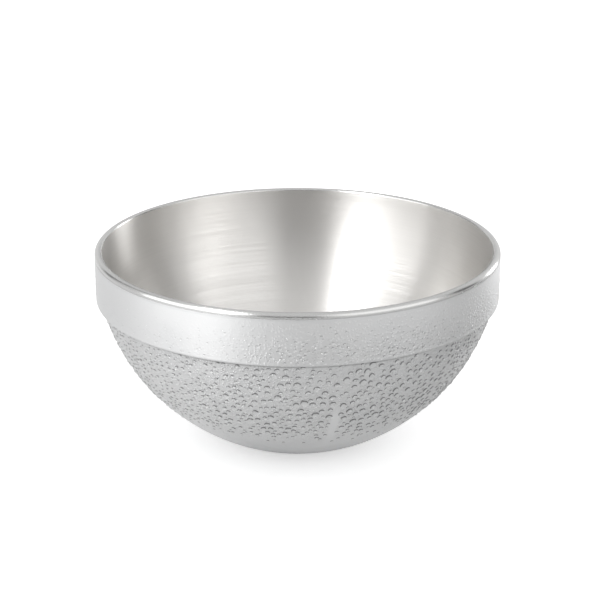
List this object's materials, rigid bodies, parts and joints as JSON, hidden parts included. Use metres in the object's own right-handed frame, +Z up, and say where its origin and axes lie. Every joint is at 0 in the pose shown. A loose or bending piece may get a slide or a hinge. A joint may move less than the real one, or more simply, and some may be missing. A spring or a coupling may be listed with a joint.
{
  "type": "insulated salad bowl",
  "caption": "Round double-walled stainless steel serving bowl with an upright rim band, rolled lip, stepped rounded body, brushed inside and flat base ring, for keeping salad cold.",
  "frame": {"origin": "centre of the base ring, on the surface that the bowl stands on", "axes": "+Z up along the axis of the bowl, out of its mouth; X and Y alike, because the bowl is round"},
  "size_m": [0.24, 0.24, 0.118],
  "materials": {
    "brushed_inside": "fine brushing round the inside, bright lip",
    "satin_outside": "pale satin",
    "ground_seam": "ground flush to the satin of the band",
    "base_steel": "satin, turned rings",
    "solder_glass": "dark fused glass",
    "getter_alloy": "matte sintered metal",
    "clip_steel": "plain rolled strip"
  },
  "bodies": {
    "root": {"inner_bowl": "brushed_inside", "outer_shell": "satin_outside", "rim_weld": "ground_seam", "base_disc": "base_steel", "port_seal": "solder_glass", "getter_pellet": "getter_alloy", "getter_clip": "clip_steel"}
  },
  "joints": []
}
